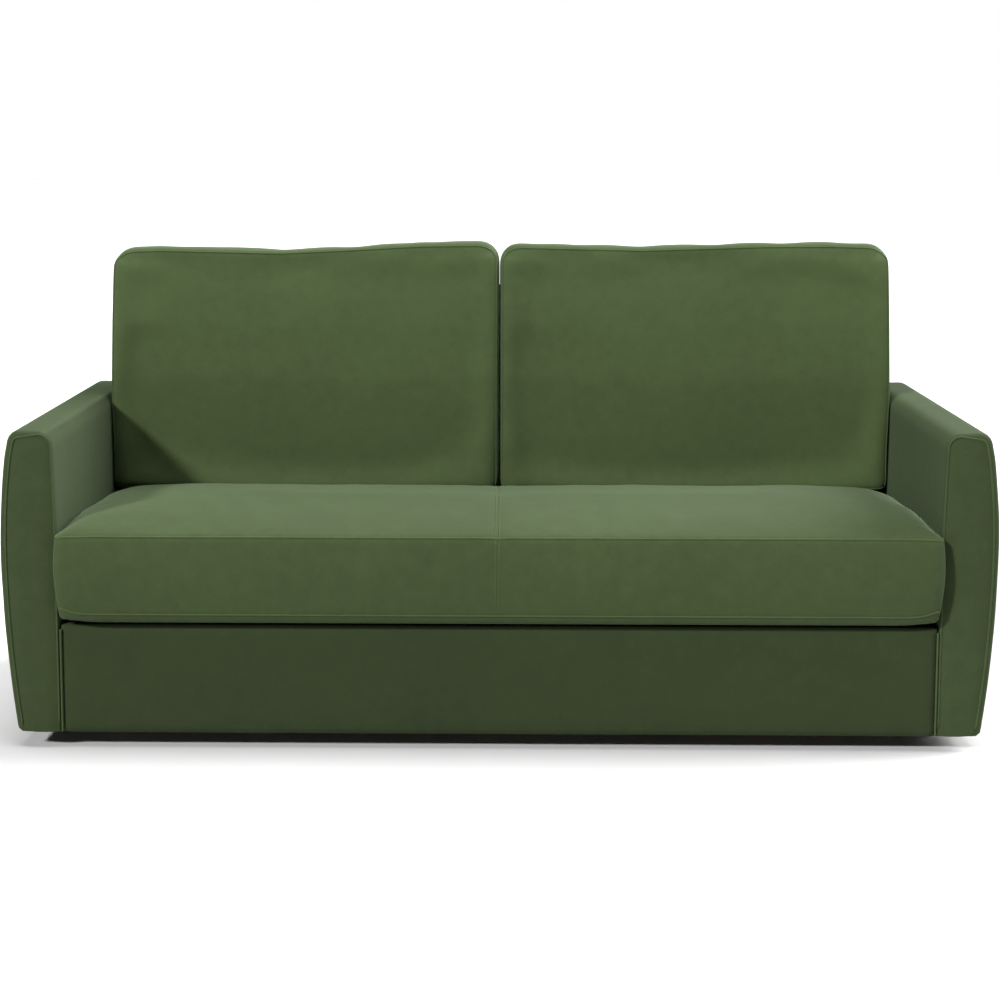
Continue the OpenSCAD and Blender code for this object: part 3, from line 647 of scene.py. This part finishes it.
def build_back_cushion(side, sign):
    # the lattice runs outwards from the middle, which turns it inside out on the right
    ob, index = cushion("back_cushion_soft_" + side, BACK_CELLS, back_place(sign), back_pins, M_VELVET,
                        mirrored=sign > 0, cap=0.022, pressure=0.8, grow=0.004, passes=7)
    nodes = ["back_cushion_" + side] + (["back_cushion_cores"] if sign > 0 else [])
    finish_soft(ob, "back_section", nodes)
    nx, ny, nz = BACK_CELLS
    keys = rim_loop(nx, ny, nz)
    seam = seam_line("back_cushion_seam_" + side, ob, index, keys, BACK_SEAM_R, M_VELVET, True)
    finish_soft(seam, "back_section")


for side, sign in (("left", -1), ("right", 1)):
    build_back_cushion(side, sign)


# ---------------------------------------------------------------- arms
ARM_OFF = 0.0006                                    # the cloth's clearance from the CAD's inner side
ARM_BULGE_Z = 0.63 * ARM_TOP                        # where the arm is widest
ARM_PROUD = 0.0065
ARM_TOP_IN, ARM_FOOT_IN = 0.021, 0.026              # how far the outer side draws in at top and foot
ARM_LEAN_Z, ARM_LEAN = 0.7 * ARM_TOP, 0.006         # the inner side leans out above this height
ARM_ROUND_IN, ARM_ROUND_OUT, ARM_ROUND_FOOT = 0.030, 0.024, 0.010
ARM_FLAT_FOOT = 0.030                               # height up to which the seam is drawn in sideways only
ARM_POINTS, ARM_STEPS = 150, 46                     # round the outline, and from front to back
FACE_SEAM, INNER_SEAM = 0.0125, 0.28                # seam inside the outline, and its share on the inner side
FACE_CROWN = 0.0042
ARM_SEAM_R = 0.0021
# How the cover rolls over from its end seam to the sides: distance inside the outline, and behind the face
ROLL = (
    (FACE_SEAM, 0.0), (0.0085, 0.0004), (0.0045, 0.0020), (0.0018, 0.0050), (0.0004, 0.0095), (0.0, 0.016),
)
ROLL_DEPTH = ROLL[-1][1]
REAR_N0, REAR_N1, REAR_S0, REAR_S1 = span_on_back("back_cover")
ARM_REAR_N = REAR_N1 + 0.0095                       # the arms' rear, just behind the back panel


def arm_outer(z):
    """The outer side's x at height z."""
    if z > ARM_BULGE_Z:
        return HALF_W + ARM_PROUD - ARM_TOP_IN * ((z - ARM_BULGE_Z) / (ARM_TOP - ARM_BULGE_Z)) ** 2
    return HALF_W + ARM_PROUD - ARM_FOOT_IN * ((ARM_BULGE_Z - z) / (ARM_BULGE_Z - ARM_FOOT)) ** 2


def fillet(p, a, b, r, n):
    """Arc of radius r in the corner at p between the directions of a and b."""
    u, w = (a - p).normalized(), (b - p).normalized()
    half = u.angle(w) / 2
    c = p + (u + w).normalized() * (r / math.sin(half))
    s, e = p + u * (r / math.tan(half)), p + w * (r / math.tan(half))
    a0, a1 = math.atan2(s.y - c.y, s.x - c.x), math.atan2(e.y - c.y, e.x - c.x)
    d = (a1 - a0 + 3 * math.pi) % (2 * math.pi) - math.pi
    return [c + r * Vector((math.cos(a0 + d * i / n), math.sin(a0 + d * i / n))) for i in range(n + 1)]


def evenly(loop, count):
    """A closed loop of points, spaced out evenly along itself."""
    loop = loop + [loop[0]]
    run = [0.0]
    for a, b in zip(loop, loop[1:]):
        run.append(run[-1] + (b - a).length)
    out = []
    for t in np.linspace(0, run[-1], count + 1)[:-1]:
        k = max(0, min(len(loop) - 2, int(np.searchsorted(run, t, "right")) - 1))
        out.append(loop[k].lerp(loop[k + 1], (t - run[k]) / max(1e-9, run[k + 1] - run[k])))
    return out


def arm_outline():
    """Outline of the right arm as (x, z), from the foot of the inner side round over the top."""
    foot, top = ARM_FOOT, ARM_TOP
    pts = [Vector((HALF_GAP + ARM_OFF, foot + z)) for z in np.linspace(0.0, ARM_LEAN_Z - foot, 30)]
    inner = Vector((HALF_GAP + ARM_LEAN, top - 0.003))
    outer = Vector((arm_outer(top) - 0.002, top - 0.001))
    side = Vector((arm_outer(top - 0.045), top - 0.045))
    pts += fillet(inner, Vector((HALF_GAP, ARM_LEAN_Z)), outer, ARM_ROUND_IN, 12)
    pts += fillet(outer, inner, side, ARM_ROUND_OUT, 10)
    pts += [Vector((arm_outer(z), z)) for z in np.linspace(top - 0.050, foot + 0.014, 40)]
    low = Vector((arm_outer(foot), foot))
    above = Vector((arm_outer(foot + 0.03), foot + 0.03))
    pts += fillet(low, above, Vector((HALF_GAP, foot)), ARM_ROUND_FOOT, 5)
    pts += [Vector((x, foot)) for x in np.linspace(arm_outer(foot) - 0.02, HALF_GAP + 0.004, 6)]
    return evenly(pts, ARM_POINTS)


def drawn_in(loop, d):
    """The loop moved inwards by d along its smoothed normals, sideways only near the floor."""
    n = len(loop)
    res = []
    for i, p in enumerate(loop):
        t = (loop[(i + 2) % n] - loop[i - 2]).normalized()
        share = INNER_SEAM + (1 - INNER_SEAM) * smoothstep((p.x - HALF_GAP - ARM_LEAN) / 0.075)
        if p.y > ARM_FOOT + ARM_FLAT_FOOT:
            res.append(p + Vector((t.y, -t.x)) * (d * share))
            continue
        low = [q.x for q in loop if abs(q.y - p.y) < 0.006]
        f = (p.x - min(low)) / max(1e-6, max(low) - min(low))
        res.append(Vector((p.x + d * INNER_SEAM * (1 - f) - d * f, p.y)))
    return res


def arm_front_y(z):
    return FRONT_Y


def arm_rear_y(z):
    """The rear's y at height z: it leans with the back."""
    s = (z - BACK_PIVOT.z + ARM_REAR_N * math.sin(LEAN)) / math.cos(LEAN)
    return BACK_PIVOT.y + s * math.sin(LEAN) + ARM_REAR_N * math.cos(LEAN)


ARM_LOOP = arm_outline()
ARM_SEAM_LOOP = drawn_in(ARM_LOOP, FACE_SEAM)


def end_panel(loop, y_of, crown, rows=46, cols=10):
    """Grid that fills the drawn-in outline of an arm's end, crowned outwards, as (x, z, rise, y)."""
    zs = [p.y for p in loop]
    z0, z1 = min(zs), max(zs)
    verts = []
    n = len(loop)
    for r in range(rows + 1):
        z = z0 + (z1 - z0) * (0.5 - 0.5 * math.cos(math.pi * r / rows))
        z = min(max(z, z0 + 1e-5), z1 - 1e-5)
        xs = []
        for i in range(n):
            a, b = loop[i], loop[(i + 1) % n]
            if (a.y - z) * (b.y - z) < 0:
                xs.append(a.x + (b.x - a.x) * (z - a.y) / (b.y - a.y))
        x0, x1 = min(xs), max(xs)
        for c in range(cols + 1):
            h = c / cols
            x = x0 + (x1 - x0) * h
            edge = min(h, 1 - h) * (x1 - x0)
            rise = crown * plump(edge, 0.03) * plump(min(z1 - z, z - z0 + 0.03), 0.04)
            wave = 0.0007 * fbm(x * 9, z * 5, crown * 100, 6.0) * plump(edge, 0.03)
            verts.append((x, z, rise + wave, y_of(z)))
    w = cols + 1
    faces = [(k, k + 1, k + w + 1, k + w) for r in range(rows) for k in range(r * w, r * w + cols)]
    return verts, faces


def arm_rings():
    """The arm's skin as rings of (x, y, z) from the front seam to the rear seam."""
    front = [[(p.x, FRONT_Y + back, p.y) for p in drawn_in(ARM_LOOP, d)] for d, back in ROLL]
    middle = []
    for i in range(1, ARM_STEPS):
        ring = []
        for p in ARM_LOOP:
            y0, y1 = FRONT_Y + ROLL_DEPTH, arm_rear_y(p.y) - ROLL_DEPTH
            ring.append((p.x, y0 + (y1 - y0) * (i / ARM_STEPS), p.y))
        middle.append(ring)
    rear = [[(p.x, arm_rear_y(p.y) - ahead, p.y) for p in drawn_in(ARM_LOOP, d)] for d, ahead in ROLL[::-1]]
    return front + middle + rear


def arm_mesh(sign):
    """Vertices and faces of one arm: its skin and both end panels, not yet joined."""
    rings, n = arm_rings(), len(ARM_LOOP)
    verts, faces = [], []
    for ring in rings:
        for x, y, z in ring:
            amp = 0.0 if x < HALF_GAP + 0.014 else 0.0016
            w = amp * fbm(x * 2, y * 3.2, z * 4.2, 8.0 + sign)
            verts.append((sign * (x + w), y, z - (0.4 * w if z > ARM_TOP - 0.03 else 0.0)))
    for r in range(len(rings) - 1):
        for i in range(n):
            a, b = r * n + i, r * n + (i + 1) % n
            q = (a, b, b + n, a + n)
            faces.append(q if sign > 0 else q[::-1])
    for y_of, out, flip in ((arm_front_y, -1, False), (arm_rear_y, 1, True)):
        panel, quads = end_panel(ARM_SEAM_LOOP, y_of, FACE_CROWN)
        k = len(verts)
        verts += [(sign * x, y + out * (rise - 0.0004), z) for x, z, rise, y in panel]
        for q in quads:
            q = tuple(k + i for i in q)
            faces.append(q if (sign > 0) != flip else q[::-1])
    return verts, faces


def build_arm(side, sign):
    verts, faces = arm_mesh(sign)
    # the arm's velvet is a darkened copy: painted shade
    ob = mesh_object("arm_upholstery_" + side, verts, faces, M_VELVET_ARM_PAINTED_SHADE)
    bm = bmesh.new()
    bm.from_mesh(ob.data)
    bmesh.ops.remove_doubles(bm, verts=bm.verts, dist=0.0002)
    bm.to_mesh(ob.data)
    bm.free()
    nodes = ["arm_cover_" + side, "arm_padding_" + side, "arm_front_panel_" + side]
    finish_soft(ob, "carcass", nodes)
    for end, y_of, out in (("front", arm_front_y, -0.0003), ("rear", arm_rear_y, 0.0003)):
        path = [(sign * p.x, y_of(p.y) + out, p.y) for p in ARM_SEAM_LOOP if p.y > ARM_FOOT + 0.014]
        # the seam is open at the foot, so it starts after the longest step
        k = max(range(len(path)), key=lambda i: (Vector(path[i]) - Vector(path[i - 1])).length)
        # the end seams take a velvet copy lighter than the arm's: painted highlight
        seam = tube_along("arm_" + end + "_seam_" + side, path[k:] + path[:k], ARM_SEAM_R, M_ARM_SEAM_PAINTED_HIGHLIGHT)
        finish_soft(seam, "carcass")


for side, sign in (("left", -1), ("right", 1)):
    build_arm(side, sign)


# ---------------------------------------------------------------- boxes with round edges
def round_box(cells, size, radius):
    """Lattice points of a box about its middle with all its edges rounded, and what joins them."""
    points, quads, index = box_lattice(*cells)
    half = size / 2
    placed = []
    for point in points:
        p = Vector([(2 * n / of - 1) * h for n, of, h in zip(point, cells, half)])
        q = Vector([min(max(c, -(h - radius)), h - radius) for c, h in zip(p, half)])
        d = p - q
        if d.length > 0:
            p = q + d * (max(abs(c) for c in d) / d.length)
        placed.append(p)
    return points, placed, quads, index


# ---------------------------------------------------------------- front and back panels
def upholstered_panel(name, lo, hi, place, nodes, cells, radius, crown, seed):
    """A board wrapped in thin padding: round-edged, slightly crowned front and rear."""
    mid, half = (lo + hi) / 2, (hi - lo) / 2
    _, placed, quads, _ = round_box(cells, hi - lo, radius)
    verts = []
    for p in placed:
        rim = min(half.x - abs(p.x), half.z - abs(p.z))
        if abs(p.y) > half.y - radius:
            rise = crown * plump(rim, 0.05) + 0.0006 * fbm(p.x * 4, p.z * 6, 0, seed)
            p.y += math.copysign(rise, p.y)
        verts.append(place(mid + p))
    # covered in the darkest velvet copy, painted shade: the front panel lies under the seat's overhang
    ob = mesh_object(name, verts, quads, M_VELVET_BASE_PAINTED_SHADE)
    finish_soft(ob, "carcass", nodes)


def upright(p):
    return p


def leaning(p):
    return on_back(p.x, p.y, p.z)


upholstered_panel(
    "front_panel_upholstery",
    PANEL_LO + Vector((-0.001, 0.001, -0.002)), PANEL_HI + Vector((0.001, -0.001, 0.008)),
    upright, ("front_cover",), (120, 4, 18), 0.006, 0.0022, 11.0,
)
upholstered_panel(
    "back_panel_upholstery",
    Vector((REAR_LO.x - 0.001, REAR_N0 + 0.001, REAR_S0)),
    Vector((REAR_HI.x + 0.001, REAR_N1 - 0.001, REAR_S1)),
    leaning, ("back_cover",), (120, 4, 58), 0.008, 0.003, 12.0,
)


# ---------------------------------------------------------------- mattress pads
PAD_CELL = 0.016
PAD_RADIUS = 0.016
PAD_DIAMOND = 0.128
PAD_SINK = 0.0065                                   # depth of the quilting stitches
PAD_EDGE_DROP = 0.003
PAD_TAPE_R = 0.0032


def mattress_pad(name, lo, hi, place, body, node):
    """Quilted pad: diamonds of stitching on both faces, a smooth border with taped edges."""
    size = hi - lo
    mid, half = (lo + hi) / 2, size / 2
    cells = nx, ny, nz = int(size.x / PAD_CELL), int(size.y / PAD_CELL), 5
    points, placed, quads, index = round_box(cells, size, PAD_RADIUS)
    verts = []
    for (_, _, k), p in zip(points, placed):
        rim = min(half.x - abs(p.x), half.y - abs(p.y))
        if k in (0, nz):
            u, v = (p.x + p.y) / PAD_DIAMOND, (p.x - p.y) / PAD_DIAMOND
            quilt = min(1.0, 2.2 * min(abs(u - round(u)), abs(v - round(v))))
            sink = PAD_SINK * (1.0 - quilt ** 0.6) * plump(rim - 0.01, 0.04)
            p.z -= math.copysign(sink + PAD_EDGE_DROP * (1 - plump(rim, 0.03)), p.z)
        verts.append(place(mid + p))
    ob = mesh_object(name, verts, quads, M_TICKING)
    ob.data.materials.append(M_BORDER)
    for face, quad in zip(ob.data.polygons, quads):
        if len({points[v][2] for v in quad}) > 1:
            face.material_index = 1
    finish_soft(ob, body, (node,))
    for edge, k in (("lower", 0), ("upper", nz)):
        loop = rim_loop(nx, ny, k)
        tape = seam_line(name + "_tape_" + edge, ob, index, loop, PAD_TAPE_R, M_BORDER, True)
        finish_soft(tape, body)


def build_pads():
    """Two pads lie flat under the seat, and the third stands behind the backrest."""
    for node, body in (("mattress_head", "head_section"), ("mattress_middle", "seat_section")):
        lo, hi = corners(node)
        mattress_pad(node.replace("mattress", "quilted_pad"), lo, hi, upright, body, node)
    lo, hi = corners("mattress_foot")
    n0, n1, s0, s1 = span_on_back("mattress_foot")
    mattress_pad("quilted_pad_foot", Vector((lo.x, s0, n0)), Vector((hi.x, s1, n1)),
                 lambda p: on_back(p.x, p.z, p.y), "back_section", "mattress_foot")


build_pads()


# ---------------------------------------------------------------- floor, light and camera
FLOOR_TONE = 0.50
FLOOR_HALF = 60.0
WORLD, WORLD_UP = 1.0, 0.03                         # strength of the low wall of light, and of the rest
# Far softboxes: where the light comes from, its spread in degrees, its strength
SUNS = {
    "key": ((-0.57, -0.66, 0.50), 6.0, 4.85),
    "top": ((0.12, -0.06, 1.0), 40.0, 3.4),
    "side": ((0.85, 0.40, 0.62), 40.0, 6.6),
}
CAMERA_AT = (0.0205, -4.660, 1.1644)
CAMERA_DOWN, CAMERA_TURN = 0.13694, 0.0206          # radians
CAMERA_LENS, CAMERA_SENSOR = 81.167, 36.0           # mm
CAMERA_SHIFT = (0.0374, -0.05)


def stage_floor():
    m, t, p = material("studio_floor")
    co = t.nodes.new("ShaderNodeTexCoord").outputs["Object"]
    pale = ramp(t, noise_at(t, co, 3.0), [(0.3, (FLOOR_TONE,) * 3), (0.7, (FLOOR_TONE * 1.03,) * 3)])
    t.links.new(pale, p.inputs["Base Color"])
    p.inputs["Roughness"].default_value = 0.9
    p.inputs["Specular IOR Level"].default_value = 0.1
    verts = [(x * FLOOR_HALF, y * FLOOR_HALF, 0) for x, y in ((-1, -1), (1, -1), (1, 1), (-1, 1))]
    ob = mesh_object("floor", verts, [(0, 1, 2, 3)], m, False)


def sun(name, towards, spread, strength):
    d = bpy.data.lights.new(name, "SUN")
    d.angle = math.radians(spread)
    d.energy = strength
    ob = bpy.data.objects.new(name, d)
    ob.rotation_euler = Vector(towards).to_track_quat("Z", "Y").to_euler()
    bpy.context.scene.collection.objects.link(ob)


def world():
    """A bright low wall all round, dimmer overhead."""
    w = bpy.data.worlds.new("studio")
    w.use_nodes = True
    t = w.node_tree
    co = t.nodes.new("ShaderNodeTexCoord").outputs["Generated"]
    sep = t.nodes.new("ShaderNodeSeparateXYZ")
    t.links.new(co, sep.inputs[0])
    shade = ramp(t, sep.outputs["Z"], [(0.0, (1.0,) * 3), (0.10, (1.0,) * 3), (0.16, (WORLD_UP,) * 3)])
    t.links.new(shade, t.nodes["Background"].inputs["Color"])
    t.nodes["Background"].inputs["Strength"].default_value = WORLD
    bpy.context.scene.world = w


def studio():
    stage_floor()
    for name, (towards, spread, strength) in SUNS.items():
        sun(name, towards, spread, strength)
    world()
    bpy.context.scene.view_settings.view_transform = "Standard"


def camera():
    d = bpy.data.cameras.new("camera")
    d.sensor_width = CAMERA_SENSOR
    d.lens = CAMERA_LENS
    d.shift_x, d.shift_y = CAMERA_SHIFT
    d.clip_end = 100.0
    ob = bpy.data.objects.new("camera", d)
    ob.location = CAMERA_AT
    ob.rotation_euler = (math.radians(90) - CAMERA_DOWN, 0, CAMERA_TURN)
    bpy.context.scene.collection.objects.link(ob)
    bpy.context.scene.camera = ob


studio()
camera()
